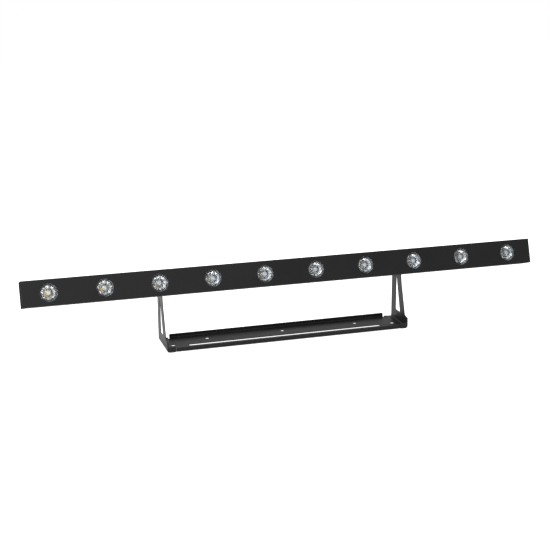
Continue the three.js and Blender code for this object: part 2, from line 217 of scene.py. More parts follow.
def metal(name, color, roughness, scratch=220.0):
    """Bare metal with fine streaks along the piece."""
    m = Nodes(name)
    place = m.tree.nodes.new("ShaderNodeTexCoord").outputs["Object"]
    stretch = m.add("ShaderNodeMapping", Vector=place, Scale=(0.08, 1.0, 1.0))
    streak = m.add("ShaderNodeTexNoise", Vector=stretch.outputs["Vector"], Scale=scratch, Detail=5.0)
    shade = [rgba(tuple(c * k for c in color)) for k in (0.85, 1.1)]
    m.set(m.shader, "Base Color", m.mix(m.spread(streak.outputs["Fac"], 0.0, 1.0), *shade))
    m.set(m.shader, "Metallic", 1.0)
    m.set(m.shader, "Roughness", m.spread(streak.outputs["Fac"], roughness - 0.08, roughness + 0.08))
    m.bump(streak.outputs["Fac"], 0.12, 0.00005)
    return m.material


def clear(name, tint, roughness, transmission=1.0):
    """Clear optical plastic, which lets lamps light what is behind it."""
    m = Nodes(name)
    m.set(m.shader, "Base Color", rgba(tint))
    m.set(m.shader, "Roughness", m.spread(m.noise(300.0).outputs["Fac"], roughness, roughness + 0.03))
    m.set(m.shader, "Transmission Weight", transmission)
    m.shader.inputs["IOR"].default_value = ACRYLIC_INDEX
    passing = m.add("ShaderNodeBsdfTransparent", Color=rgba(tint))
    mixed = m.tree.nodes.new("ShaderNodeMixShader")
    m.set(mixed, 0, m.tree.nodes.new("ShaderNodeLightPath").outputs["Is Shadow Ray"])
    m.tree.links.new(m.shader.outputs["BSDF"], mixed.inputs[1])
    m.tree.links.new(passing.outputs["BSDF"], mixed.inputs[2])
    m.tree.links.new(mixed.outputs["Shader"], m.tree.nodes["Material Output"].inputs["Surface"])
    return m.material


BRACKET_PAINT = powder_coat("bracket_paint", (0.008, 0.008, 0.0085), 0.38, specular=0.32)
PANEL_PAINT = powder_coat("panel_paint", (0.009, 0.009, 0.0095), 0.55, grain=1200.0, specular=0.2)
CAP_BLACK = powder_coat("cap_black", (0.005, 0.005, 0.006), 0.85, worn=0.01, specular=0.02)
HOUSING_BLACK = powder_coat("housing_anodised", (0.011, 0.011, 0.012), 0.45, grain=2000.0, specular=0.25)
CASE_PAINT = powder_coat("case_paint", (0.016, 0.016, 0.017), 0.5, specular=0.35)
BOARD_WHITE = moulded("board_white", (0.78, 0.79, 0.77), 0.45)
LENS_CLEAR = clear("lens_clear", (0.88, 0.91, 0.93), 0.2)
LENS_FROST = clear("lens_frost", (0.74, 0.79, 0.86), 0.3, transmission=0.5)
CUP_BLACK = moulded("cup_black", (0.012, 0.012, 0.013), 0.5)
# Painted shade: the holder's silver wall is darkened to stand in for the shade behind the lens.
SHADED_HOLDER_SILVER = moulded("holder_silver", (0.36, 0.38, 0.40), 0.5)
# Painted shade: the emitter's white board and package are darkened grey to stand in for the shade behind the
# lens.
SHADED_EMITTER_WHITE = moulded("emitter_white_painted_shade", (0.34, 0.34, 0.33), 0.5)
PHOSPHOR = moulded("emitter_phosphor", (0.92, 0.58, 0.08), 0.4)
SUPPLY_METAL = metal("supply_metal", (0.55, 0.56, 0.57), 0.35)
BOARD_GREEN = moulded("board_green", (0.02, 0.14, 0.06), 0.4)
WINDOW_GLOSS = moulded("window_gloss", (0.012, 0.012, 0.014), 0.12)
BUTTON_PLASTIC = moulded("button_plastic", (0.045, 0.045, 0.047), 0.5)
SOCKET_BLUE = moulded("socket_blue", (0.02, 0.09, 0.38), 0.4)
SOCKET_GREY = moulded("socket_grey", (0.40, 0.41, 0.42), 0.4)
SOCKET_BLACK = moulded("socket_black", (0.022, 0.022, 0.023), 0.42)
TAB_METAL = metal("tab_metal", (0.60, 0.60, 0.61), 0.3)
KNOB_PLASTIC = moulded("knob_plastic", (0.028, 0.028, 0.029), 0.5)
WASHER_NYLON = moulded("washer_nylon", (0.70, 0.70, 0.66), 0.5)
SCREW_BLACK = metal("screw_black", (0.10, 0.10, 0.105), 0.38)
SEGMENT_GREY = moulded("segment_grey", (0.06, 0.055, 0.055), 0.3)
BUSH_STEEL = metal("bush_steel", (0.52, 0.52, 0.54), 0.28)


# ---- mesh helpers -------------------------------------------------------------------------------
def finish_piece(name, bm, placing, material, body, stands_for=(), bevel=0.0, smooth_deg=35.0):
    """Turns a bmesh in millimetres into a placed, riding piece with softly rounded edges."""
    bmesh.ops.remove_doubles(bm, verts=bm.verts, dist=1e-5)
    bmesh.ops.recalc_face_normals(bm, faces=bm.faces)
    bm.transform(placing)
    mesh = bpy.data.meshes.new(name)
    bm.to_mesh(mesh)
    bm.free()
    mesh.materials.append(material)
    piece = bpy.data.objects.new(name, mesh)
    bpy.context.scene.collection.objects.link(piece)
    if bevel:
        round_edges(piece, bevel)
    mesh.polygons.foreach_set("use_smooth", [True] * len(mesh.polygons))
    mesh.set_sharp_from_angle(angle=math.radians(smooth_deg))
    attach(piece, body)
    if stands_for:
        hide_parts(*stands_for)
    return piece


def round_edges(piece, width_mm):
    """Softens every edge sharper than 40 degrees."""
    bevel = piece.modifiers.new("soft_edges", "BEVEL")
    bevel.width = width_mm * MM
    bevel.segments = 2
    bevel.limit_method = "ANGLE"
    bevel.angle_limit = math.radians(40)
    bevel.harden_normals = False
    bevel.use_clamp_overlap = True


def arc(centre, radius, start_deg, end_deg, steps):
    angles = [math.radians(start_deg + (end_deg - start_deg) * i / steps) for i in range(steps + 1)]
    return [(centre[0] + radius * math.cos(a), centre[1] + radius * math.sin(a)) for a in angles]


def circle(centre, radius, steps=48):
    return arc(centre, radius, 0, 360, steps)[:-1]


def rounded(corners, steps=6):
    """An outline with each corner rounded to its own radius: corners are (a, b, radius)."""
    outline = []
    for i, (a, b, radius) in enumerate(corners):
        if radius == 0:
            outline.append((a, b))
            continue
        corner = Vector((a, b))
        before = (Vector(corners[i - 1][:2]) - corner).normalized()
        after = (Vector(corners[(i + 1) % len(corners)][:2]) - corner).normalized()
        half = before.angle(after) / 2
        centre = corner + (before + after).normalized() * radius / math.sin(half)
        run = radius / math.tan(half)
        start, end = (corner + before * run - centre), (corner + after * run - centre)
        turn = start.angle_signed(end)
        for k in range(steps + 1):
            # angle_signed is clockwise-positive, so the turn is taken the other way
            spoke = start.copy()
            spoke.rotate(Matrix.Rotation(-turn * k / steps, 2))
            outline.append(tuple(centre + spoke))
    return outline


def slab(outline, holes, low, high, lift):
    """A plate with holes: the outline is extruded from low to high, and lift places (a, b, c)."""
    loops = [outline, *holes]
    flat = [Vector((a, b, 0)) for loop in loops for a, b in loop]
    triangles = tessellate_polygon([[Vector((a, b, 0)) for a, b in loop] for loop in loops])
    bm = bmesh.new()
    lower = [bm.verts.new(lift(p.x, p.y, low)) for p in flat]
    upper = [bm.verts.new(lift(p.x, p.y, high)) for p in flat]
    for triangle in triangles:
        bm.faces.new([lower[i] for i in triangle])
        bm.faces.new([upper[i] for i in reversed(triangle)])
    start = 0
    for loop in loops:
        for i in range(len(loop)):
            a, b = start + i, start + (i + 1) % len(loop)
            bm.faces.new([lower[a], lower[b], upper[b], upper[a]])
        start += len(loop)
    return bm


def turned(profile, steps=64, closed=True, into=None, start=0.0, end=2 * math.pi):
    """Revolves (radius, depth) points about the depth axis. A closed profile is a ring's own section;
    an open one runs from the axis round to the axis. Less than a full turn makes a capped sector."""
    bm = into or bmesh.new()
    full = end - start > 2 * math.pi - 1e-6
    angles = [start + (end - start) * k / steps for k in range(steps if full else steps + 1)]
    rows = []
    for radius, depth in profile:
        if radius == 0:
            rows.append([bm.verts.new((0, depth, 0))] * len(angles))
        else:
            rows.append([bm.verts.new((radius * math.cos(a), depth, radius * math.sin(a))) for a in angles])
    for i, row in enumerate(rows if closed else rows[:-1]):
        following = rows[(i + 1) % len(rows)]
        for k in range(steps):
            across = (k + 1) % len(angles)
            corners = list(dict.fromkeys([row[k], row[across], following[across], following[k]]))
            if len(corners) > 2:
                bm.faces.new(corners)
    if not full:
        bm.faces.new([row[0] for row in rows])
        bm.faces.new([row[-1] for row in rows])
    return bm


def joined(target, part, place=None):
    """Adds part's mesh to target's, after moving it to its place, and frees part."""
    if place is not None:
        part.transform(place)
    mesh = bpy.data.meshes.new("part")
    part.to_mesh(mesh)
    part.free()
    target.from_mesh(mesh)
    bpy.data.meshes.remove(mesh)


def box_mesh(low, high):
    bm = bmesh.new()
    bmesh.ops.create_cube(bm, size=1.0)
    for vert in bm.verts:
        for axis in range(3):
            vert.co[axis] = low[axis] if vert.co[axis] < 0 else high[axis]
    return bm


def depth_plate(a, b, c):
    """Draws an outline in x and z, with its thickness along the depth."""
    return (a, c, b)


def side_plate(a, b, c):
    """Draws an outline in y and z, with its thickness along x."""
    return (c, a, b)


def rectangle(width, height, radius, middle=0.0, steps=6):
    """A rounded rectangle's outline, its middle at that height."""
    a, low, high = width / 2, middle - height / 2, middle + height / 2
    corners = [(-a, low, radius), (a, low, radius), (a, high, radius), (-a, high, radius)]
    return rounded(corners, steps)


def spots(radius, degrees):
    """Points on a circle round the origin."""
    return [(radius * math.cos(a), radius * math.sin(a)) for a in map(math.radians, degrees)]


def beside(x):
    """The lamp body's frame, moved along the row."""
    return LAMP @ Matrix.Translation((x, 0, 0))


# ---- bracket ------------------------------------------------------------------------------------
class Bend:
    """One straight bend of the sheet. It starts at self.start from the sheet's middle, takes
    self.run of the flat sheet, and its wall's outer face ends up at the given distance."""

    def __init__(self, outer_face, inner_radius):
        self.radius = inner_radius + SHEET
        self.start = outer_face - self.radius
        self.run = (inner_radius + SHEET / 2) * math.pi / 2

    def flat(self, height):
        """Where a point that ends up at this height lies on the flat sheet."""
        return self.start + self.run + height - self.radius

    def creases(self):
        """The lines that divide the bend into flat strips."""
        return [self.start + self.run * k / BEND_STEPS for k in range(BEND_STEPS + 1)]

    def wrap(self, along, level):
        """Carries a point of the flat sheet, at that level within its thickness, round the bend."""
        reach = self.radius - level
        if along <= self.start:
            return along, level
        if along >= self.start + self.run:
            return self.start + reach, self.radius + along - self.start - self.run
        angle = (along - self.start) / (self.radius - SHEET / 2)
        return self.start + reach * math.sin(angle), self.radius - reach * math.cos(angle)


BEND_STEPS = 7
HALF_DEPTH = BASE_DEPTH / 2
ARM_BEND = Bend(SPAN / 2, 2.2)
FLANGE_BEND = Bend(HALF_DEPTH, 2.2)
TAB_BEND = Bend(HALF_DEPTH, 1.6)
RELIEF = 36.0  # where the flanges come free of the arms, from the sheet's middle
RELIEF_WIDTH = 2.4
TAB_SLIT = 0.5
PIVOT_FLAT = (ARM_BEND.flat(PIVOT.z / MM), PIVOT.y / MM)


def flat_outline():
    """The flat sheet's outline, with x along the span and y across the depth."""
    up, tab_start = ARM_BEND.flat, TAB_BEND.start
    flange_end, tab_end = FLANGE_BEND.flat(FLANGE_HEIGHT), TAB_BEND.flat(TAB_WIDTH)
    head = HALF_DEPTH - PIVOT_FLAT[1]
    neck = (up(97.0), -2.4)
    reach = Vector(neck) - Vector(PIVOT_FLAT)
    tangent = math.degrees(math.atan2(reach.y, reach.x) + math.acos(head / reach.length))
    top = arc(PIVOT_FLAT, head, tangent, 90.0, 20)
    relief_end = FRONT_FLANGE_HALF + RELIEF_WIDTH
    foot = [
        (FRONT_FLANGE_HALF, -flange_end, 2.0), (FRONT_FLANGE_HALF, -RELIEF, 0.8),
        (relief_end, -RELIEF, 0.8), (relief_end, -tab_start, 0.0),
        (up(4.4), -tab_start, 0.0), (up(4.4), -tab_start - TAB_SLIT, 0.0),
        (up(0.5), -tab_start - TAB_SLIT - 4.5, 3.0), (up(0.5), -tab_end, 2.0),
        (up(TAB_HEIGHT), -tab_end, 2.0), (up(TAB_HEIGHT), -HALF_DEPTH, 0.0),
    ]
    arm = [(up(19.3), -HALF_DEPTH, 1.5), (up(21.9), -25.2, 6.0), (up(81.0), -5.6, 12.0), (*neck, 12.0)]
    # only guide the rounding of the first and last corner, and are dropped after it
    neighbours = [(*top[0], 0.0), (0.0, HALF_DEPTH, 0.0), (0.0, -flange_end, 0.0)]
    front = rounded(foot + arm + neighbours)[:-len(neighbours)]
    relief_end = REAR_FLANGE_HALF + RELIEF_WIDTH
    rear = [(relief_end, HALF_DEPTH), (relief_end, RELIEF), (REAR_FLANGE_HALF, RELIEF)]
    rear += arc((REAR_FLANGE_HALF - 2.0, flange_end - 2.0), 2.0, 0.0, 90.0, 5)
    right = front + top + rear
    return right + [(-x, y) for x, y in reversed(right)]


def flat_holes():
    """The base's slot and bolt holes, and each arm's cut-out and pivot hole."""
    slot_y, ends, radius = SLOT_FROM_FRONT - HALF_DEPTH, SLOT_HALF - SLOT_WIDTH / 2, SLOT_WIDTH / 2
    holes = [arc((ends, slot_y), radius, -90, 90, 16) + arc((-ends, slot_y), radius, 90, 270, 16)]
    for x in (-BOLT_HOLES["pitch"], 0.0, BOLT_HOLES["pitch"]):
        holes.append(circle((x, BOLT_HOLES["from_front"] - HALF_DEPTH), BOLT_HOLES["radius"]))
    up = ARM_BEND.flat
    cut_out = rounded([(up(21.0), -3.0, 3.0), (up(21.0), 20.8, 2.5), (up(101.0), 20.8, 2.0)])
    for side in (-1, 1):
        end_hole = (side * END_HOLES["x"], END_HOLES["from_front"] - HALF_DEPTH)
        holes.append(circle(end_hole, END_HOLES["radius"]))
        holes.append([(side * x, y) for x, y in cut_out])
        holes.append(circle((side * PIVOT_FLAT[0], PIVOT_FLAT[1]), PIVOT_HOLE_RADIUS))
    return holes


def fold_up(bm):
    """Folds the arms, the flanges and the arms' corner tabs, along lines that are cut first."""
    cuts = [((1, 0, 0), side * crease) for side in (-1, 1) for crease in ARM_BEND.creases()]
    cuts += [((0, 1, 0), side * crease) for side in (-1, 1) for crease in FLANGE_BEND.creases()]
    cuts += [((0, 1, 0), -crease) for crease in TAB_BEND.creases()]
    for normal, offset in cuts:
        everything = bm.verts[:] + bm.edges[:] + bm.faces[:]
        point = Vector(normal) * offset
        bmesh.ops.bisect_plane(bm, geom=everything, plane_co=point, plane_no=normal, dist=1e-6)
    for vert in bm.verts:
        x, y, level = vert.co
        along_x, along_y = abs(x), abs(y)
        on_flange = along_x < FRONT_FLANGE_HALF + RELIEF_WIDTH / 2
        on_tab = not on_flange and y < -TAB_BEND.start - 1e-4
        if on_flange:
            along_y, level = FLANGE_BEND.wrap(along_y, level)
        if on_tab:
            along_y, level = TAB_BEND.wrap(along_y, level)
            along_x, level = SPAN / 2 - level, along_x - ARM_BEND.flat(0.0)
        else:
            along_x, level = ARM_BEND.wrap(along_x, level)
        vert.co = (math.copysign(along_x, x), math.copysign(along_y, y), level)


def folded_bracket():
    """The bracket as one sheet: cut flat with its arms and flanges laid out, then folded up."""
    bm = slab(flat_outline(), flat_holes(), 0.0, SHEET, lambda x, y, level: (x, y, level))
    bmesh.ops.remove_doubles(bm, verts=bm.verts, dist=1e-5)
    fold_up(bm)
    finish_piece(
        "bracket_sheet", bm, ROW, BRACKET_PAINT, "bracket",
        ("base_plate", "bracket_arm_left", "bracket_arm_right"), bevel=0.35, smooth_deg=30,
    )


folded_bracket()


# ---- front panel and lamps ----------------------------------------------------------------------
def front_panel():
    """Flat face plate with a round aperture over each lens."""
    outline = rectangle(BODY_LENGTH, BODY_HEIGHT, 0.6, steps=3)
    holes = [circle((x, 0.0), APERTURE_RADIUS, 96) for _, x in LENSES]
    bm = slab(outline, holes, FACE_Y, FACE_Y + PANEL, depth_plate)
    finish_piece("panel_face", bm, LAMP, PANEL_PAINT, "lamp_body", ("front_panel",), bevel=0.3)


def collimator_flank(rim, pit):
    """Half section of a collimating lens's reflecting flank, as (radius, height above the emitter).
    Each step has the slope that turns a ray from the emitter, bent at the pit's wall, straight ahead."""
    step = 0.4
    flank = [(pit + 1.0, 0.8)]
    while flank[-1][0] < rim - step / 2:
        radius, height = flank[-1]
        low, high = 0.0, height
        for _ in range(30):  # where this point's ray crosses the pit's wall
            wall = (low + high) / 2
            sine = wall / math.hypot(wall, pit) / ACRYLIC_INDEX
            reached = wall + (radius - pit) * sine / math.sqrt(1 - sine * sine)
            low, high = (wall, high) if reached < height else (low, wall)
        sine = (low + high) / 2 / math.hypot((low + high) / 2, pit) / ACRYLIC_INDEX
        flank.append((radius + step, height + step * math.tan((math.asin(sine) + math.pi / 2) / 2)))
    return flank


def bulge(radius, edge_height, rise, steps=6):
    """A shallow dome's section from its middle out to radius."""
    return [(radius * k / steps, edge_height + rise * (1 - (k / steps) ** 2)) for k in range(steps + 1)]


def flute(bm):
    """Draws the lens's flank in between its teeth, most of all at its rim."""
    for vert in bm.verts:
        radius, height = math.hypot(vert.co.x, vert.co.z), EMITTER_Y - vert.co.y
        if PIT_RADIUS + 0.9 < radius < LENS_RIM + 0.5 and height < LENS_HEIGHT - 1.8:
            angle = math.atan2(vert.co.z, vert.co.x)
            along = (radius - PIT_RADIUS) / (LENS_RIM - PIT_RADIUS)
            inward = 1 - 0.08 * abs(math.sin(angle * TEETH / 2)) * along ** 3
            vert.co.x *= inward
            vert.co.z *= inward


def lens(number, x):
    """Clear collimator: dished front with a small frosted lens at the bottom of its dish, fluted
    flank, pit."""
    front, dish_radius = LENS_HEIGHT, 4.2
    flank = [point for point in collimator_flank(LENS_RIM, PIT_RADIUS) if point[1] < front - LENS_FLANGE]
    dish = bulge(dish_radius, front - 4.6, 1.2) + [(4.5, front - 4.6), (5.2, front - 0.3), (5.5, front)]
    flange = [(17.3, front), (17.6, front - 0.3), (17.6, front - 1.4), (17.3, front - 1.7)]
    flange.append((LENS_RIM + 0.4, front - 1.9))
    pit = [(PIT_RADIUS + 0.3, 0.3), (PIT_RADIUS, 4.0)] + bulge(PIT_RADIUS - 0.2, 4.2, -0.8)[::-1]
    profile = dish + flange + flank[::-1] + [(PIT_RADIUS + 0.8, 0.3)] + pit
    bm = turned([(r, EMITTER_Y - h) for r, h in profile], 96, closed=False)
    flute(bm)
    for face in bm.faces:
        width = max(math.hypot(vert.co.x, vert.co.z) for vert in face.verts)
        in_front_half = face.calc_center_median().y < EMITTER_Y - front / 2
        if width < dish_radius + 0.05 and in_front_half:
            face.material_index = 1
    node = f"lens_{number}"
    piece = finish_piece(
        f"collimator_{number}", bm, beside(x), LENS_CLEAR, "lamp_body", (node,),
    )
    piece.data.materials.append(LENS_FROST)


def lens_holder(number, x):
    """Cup under the lens: a seat ring, a silver wall with eight windows, darkened as painted shade, and a
    dark floor ring.
    """
    top = LENS_FRONT_Y + 2.3

    def below(section):
        return [(radius, top + depth) for radius, depth in section]

    seat = [(15.9, 0), (18.5, 0), (18.5, 1.8), (16.9, 2.4), (16.9, 2.8), (15.9, 2.8)]
    floor_ring = [(15.4, 14.0), (16.9, 14.0), (16.9, 17.5), (9.8, 17.5), (9.8, 16.2), (15.4, 16.2)]
    bm = turned(below(seat), 96)
    turned(below(floor_ring), 96, into=bm)
    node = f"lens_holder_{number}"
    finish_piece(f"cup_{number}", bm, beside(x), CUP_BLACK, "lamp_body", (node,))
    stave = [(15.7, 2.7), (16.8, 2.7), (16.8, 14.1), (15.4, 14.1)]
    band = [(15.7, 2.75), (16.8, 2.75), (16.8, 4.2), (15.65, 4.2)]
    pitch = 2 * math.pi / TEETH
    half_stave = pitch * 0.27
    wall = bmesh.new()
    for tooth in range(TEETH):
        middle = tooth * pitch
        turned(below(stave), 8, into=wall, start=middle - half_stave, end=middle + half_stave)
    turned(below(band), 96, into=wall)
    finish_piece(f"cup_wall_{number}", wall, beside(x), SHADED_HOLDER_SILVER, "lamp_body")


def emitter(number, x):
    """White board with its light-emitting package, both darkened as painted shade; the package is off
    the lens's axis in the first lamp only, and carries the package's small yellow dome."""
    slot, node = "emitter_phosphor", f"led_emitter_{number}"
    chip_x = x + FIRST_LAMP_OFFSET if number == "01" else x
    seat = BOARD_Y - GAP
    face, chip_face = seat - 1.9, seat - 2.9
    base = box_mesh((-6.5, face, -6.5), (6.5, seat, 6.5))
    finish_piece(
        f"star_{number}", base, beside(x), SHADED_EMITTER_WHITE, "lamp_body", (node,), bevel=0.15,
    )
    chip = box_mesh((-1.75, chip_face, -1.75), (1.75, face, 1.75))
    finish_piece(f"package_{number}", chip, beside(chip_x), SHADED_EMITTER_WHITE, "lamp_body", bevel=0.1)
    dome = arc((0, 0), PHOSPHOR_RADIUS, 0, 90, 6)[:-1] + [(0, PHOSPHOR_RADIUS)]
    profile = [(radius, chip_face - height) for radius, height in dome]
    phosphor = turned([*profile, (0, chip_face + 0.1), (PHOSPHOR_RADIUS, chip_face + 0.1)], 32)
    finish_piece(f"phosphor_{number}", phosphor, beside(chip_x), PHOSPHOR, "lamp_body")


front_panel()
for lens_number, lens_x in LENSES:
    lens(lens_number, lens_x)
    lens_holder(lens_number, lens_x)
    emitter(lens_number, lens_x)


# ---- fasteners ----------------------------------------------------------------------------------
def facing(direction):
    """Turns a shape drawn facing -y, away from its seat, to face that direction."""
    return Vector((0, -1, 0)).rotation_difference(Vector(direction)).to_matrix().to_4x4()


def screws(name, seats, direction, radius=2.6, height=1.2, flush=False):
    """Cross-recessed screw heads in one piece, one at each seat, standing on it or sunk level with it."""
    wide, narrow, recess = radius * 0.62, radius * 0.13, 0.55
    half_cross = [(narrow, wide), (narrow, narrow), (wide, narrow)]
    half_cross += [(wide, -narrow), (narrow, -narrow), (narrow, -wide)]
    cross = half_cross + [(-a, -b) for a, b in half_cross]
    top = 0.0 if flush else -height
    shank = [(0, top + recess), (radius, top + recess), (radius, top + height), (0, top + height)]
    head = circle((0, 0), radius * 0.96, 40)
    bm = bmesh.new()
    for seat in seats:
        place = Matrix.Translation(seat) @ facing(direction)
        joined(bm, turned(shank, 32, closed=False), place)
        joined(bm, slab(head, [cross], top, top + recess + 0.01, depth_plate), place)
    finish_piece(name, bm, LAMP, SCREW_BLACK, "lamp_body", bevel=0.15)


# ---- lamp body's ends and back ------------------------------------------------------------------
def dress(node, material, bevel=0.0):
    """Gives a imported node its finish, and soft edges."""
    part = frame["nodes"][node]
    part.data.materials.clear()
    part.data.materials.append(material)
    weld = part.modifiers.new("weld", "WELD")
    weld.merge_threshold = 1e-6
    if bevel:
        round_edges(part, bevel)
    smooth = part.modifiers.new("even_normals", "WEIGHTED_NORMAL")
    smooth.keep_sharp = True


def end_cap(side, word):
    """Flat cap with a rounded outline and four countersunk screws."""
    thickness, outer = 3.0, BODY_LENGTH / 2
    front, back, half = FACE_Y + PANEL + GAP, FACE_Y + BODY_DEPTH, BODY_HEIGHT / 2
    outline = rounded([(front, -half, 0.6), (back, -half, 2.0), (back, half, 2.0), (front, half, 0.6)])
    seats = [(y, z) for y in (front + 8.0, back - 8.0) for z in (-half + 6.0, half - 6.0)]
    sunk = [circle(seat, 2.9, 32) for seat in seats]
    low, high = sorted((side * (outer - thickness), side * outer))
    bm = slab(outline, sunk, low, high, side_plate)
    node = f"end_cap_{word}"
    finish_piece(
        f"cap_{word}", bm, LAMP, CAP_BLACK, "lamp_body", (node,), bevel=0.35,
    )
    places = [(side * (outer - 0.35), y, z) for y, z in seats]
    screws(f"cap_screws_{word}", places, (side, 0, 0), radius=2.7, height=2.0, flush=True)


def driver_cover_screws():
    """Screws along the top and bottom edges of the rear cover."""
    row = CASE_HEIGHT / 2 - 3.4
    places = [(x, CASE_REAR_Y, z) for x in (-228, -90, 90, 228) for z in (-row, row)]
    screws("cover_screws", places, (0, 1, 0), radius=2.3)


def panel_socket(name, x, mouth, depth, material):
    """Square-flanged panel socket with a round mouth, a chamfered lip and two screws."""
    back, face, barrel = CASE_REAR_Y + GAP, SOCKET_FACE_Y, 11.6
    plate = slab(rectangle(26, 31, 2.5), [circle((0, 0), mouth + 0.5, 64)], back, face, depth_plate)
    node = f"{name}_socket"
    finish_piece(f"{name}_flange", plate, beside(x), material, "lamp_body", (node,), bevel=0.35)
    bottom = face - depth
    profile = [(0, bottom), (mouth, bottom), (mouth, face - 0.5), (mouth + 0.5, face), (barrel, face - 0.4)]
    shell = turned([*profile, (barrel, bottom - 3), (0, bottom - 3)], 64, closed=False)
    finish_piece(f"{name}_barrel", shell, beside(x), material, "lamp_body")
    places = [(x + a, face, b) for a, b in ((-9.8, 12.4), (9.8, -12.4))]
    screws(f"{name}_screws", places, (0, 1, 0), radius=1.7, height=0.7)
    return bottom


def power_socket(name, x, material):
    """Locking mains socket: a keyed core with three blade slots, and lugs inside its mouth."""
    bottom = panel_socket(name, x, 10.4, 14, material)
    foot = bottom - 0.2
    slots = []
    for a, b in ((-2.8, 0), (2.8, 0), (0, -3.4)):
        slots.append([(a - 0.5, b - 1.6), (a + 0.5, b - 1.6), (a + 0.5, b + 1.6), (a - 0.5, b + 1.6)])
    core = slab(circle((0, 0), 5.8, 48), slots, foot, SOCKET_FACE_Y - 2.0, depth_plate)
    finish_piece(f"{name}_core", core, beside(x), material, "lamp_body", bevel=0.2)
    lug = [(8.9, foot), (10.45, foot), (10.45, bottom + 9), (8.9, bottom + 9)]
    lugs = bmesh.new()
    for middle in (0.6, 0.6 + math.pi):
        turned(lug, 8, into=lugs, start=middle - 0.25, end=middle + 0.25)
    finish_piece(f"{name}_lugs", lugs, beside(x), material, "lamp_body")


def data_in_contacts(x):
    """Three round pins in a ring, standing from the floor of the data input."""
    bottom = panel_socket("data_in", x, 9.6, 14, SOCKET_BLACK)
    foot = bottom - 0.2
    pin = [(0, foot), (1.2, foot), (1.2, bottom + 8.6), (0.7, bottom + 9.4), (0, bottom + 9.6)]
    pins = bmesh.new()
    for a, b in spots(5.0, CONTACT_DEGREES):
        joined(pins, turned(pin, 20, closed=False), Matrix.Translation((a, 0, b)))
    finish_piece("data_in_pins", pins, beside(x), TAB_METAL, "lamp_body")


def data_out_contacts(x):
    """Insert with three contact holes, set back inside the data output."""
    bottom = panel_socket("data_out", x, 8.0, 6, SOCKET_BLACK)
    holes = [circle(spot, 1.5, 20) for spot in spots(4.6, CONTACT_DEGREES)]
    insert = slab(circle((0, 0), 7.4, 48), holes, bottom - 0.2, SOCKET_FACE_Y - 2.5, depth_plate)
    finish_piece("data_out_insert", insert, beside(x), SOCKET_BLACK, "lamp_body", bevel=0.2)


def release_tab(x):
    """Thumb tab with three grip ribs, over the data output."""
    body, middle = "data_out_release_tab", 13.4
    low, high = SOCKET_FACE_Y + GAP, SOCKET_FACE_Y + 1.7
    bm = slab(rectangle(8, 3.6, 0.8, middle), [], low, high, depth_plate)
    finish_piece("release_tab", bm, beside(x), TAB_METAL, body, (body,), bevel=0.25)
    rib = Matrix.Diagonal((6.2, 0.6, 0.4, 1))
    ribs = bmesh.new()
    for z in (middle - 0.9, middle, middle + 0.9):
        bmesh.ops.create_cube(ribs, size=1.0, matrix=Matrix.Translation((0, high + 0.15, z)) @ rib)
    finish_piece("release_tab_ribs", ribs, beside(x), TAB_METAL, body, bevel=0.1)


def push_button(name, x):
    """Round key with a dished top and a retaining collar behind the cover."""
    body, cover = f"{name}_button", CASE_REAR_Y - 1.7
    lower = [(0, 1.0), (2.2, 1.0), (2.2, cover - 3), (4.2, cover - 3), (4.2, cover - GAP), (3.2, cover - GAP)]
    upper = [(3.2, 17.5), (3.1, 17.8), (2.8, 18.0), (2.3, 17.95), (1.2, 17.75), (0, 17.7)]
    bm = turned(lower + upper, 40, closed=False)
    finish_piece(f"{name}_key", bm, beside(x), BUTTON_PLASTIC, body, (body,))


def display(x):
    """Glossy window with three unlit seven-segment digits showing faintly under its face."""
    top = CASE_REAR_Y + 0.4
    bm = slab(rectangle(32, 14, 0.8), [], top - 5.1, top, depth_plate)
    node = "display_window"
    finish_piece("window", bm, beside(x), WINDOW_GLOSS, "lamp_body", (node,), bevel=0.3)
    segments = bmesh.new()
    bar, thick = 4.2, 0.9
    across = [(0, 0, bar, thick), (0, bar, bar, thick), (0, -bar, bar, thick)]
    upright = [(a * bar / 2, b * bar / 2, thick, bar) for a in (-1, 1) for b in (-1, 1)]
    for digit in (-9, 0, 9):
        for a, b, wide, tall in across + upright:
            size = Matrix.Diagonal((wide * 0.82, 0.06, tall * 0.82, 1))
            place = Matrix.Translation((digit + a, top, b))
            bmesh.ops.create_cube(segments, size=1.0, matrix=place @ size)
    finish_piece("window_segments", segments, beside(x), SEGMENT_GREY, "lamp_body")


def fuse(x):
    """Round fuse holder with a coin-slotted cap that turns."""
    back, face = CASE_REAR_Y + GAP, SOCKET_FACE_Y
    outside = [(0, -8), (6.5, -8), (6.5, back), (8.5, back), (8.5, face - 0.4), (8.1, face)]
    holder = turned([*outside, (5.6, face), (5.6, 6), (0, 6)], 48, closed=False)
    finish_piece("fuse_body", holder, beside(x), SOCKET_BLACK, "lamp_body", ("fuse_holder",))
    low, top = face + GAP, face + GAP + 4.3
    cap = turned([(0, 8), (5.2, 8), (5.2, low), (7, low), (7, top - 1.4), (0, top - 1.4)], 48, closed=False)
    coin_slot = [(-4.5, -0.7), (4.5, -0.7), (4.5, 0.7), (-4.5, 0.7)]
    joined(cap, slab(circle((0, 0), 7.0, 48), [coin_slot], top - 1.42, top, depth_plate))
    finish_piece(
        "fuse_top", cap, beside(x), KNOB_PLASTIC, "fuse_cap", ("fuse_cap",), bevel=0.35,
    )


def lobed(radius, swing, lobes, steps=144):
    """A round outline whose radius swings in and out once for each lobe."""
    outline = []
    for k in range(steps):
        angle = 2 * math.pi * k / steps
        reach = radius + swing * math.cos(lobes * angle)
        outline.append((reach * math.cos(angle), reach * math.sin(angle)))
    return outline


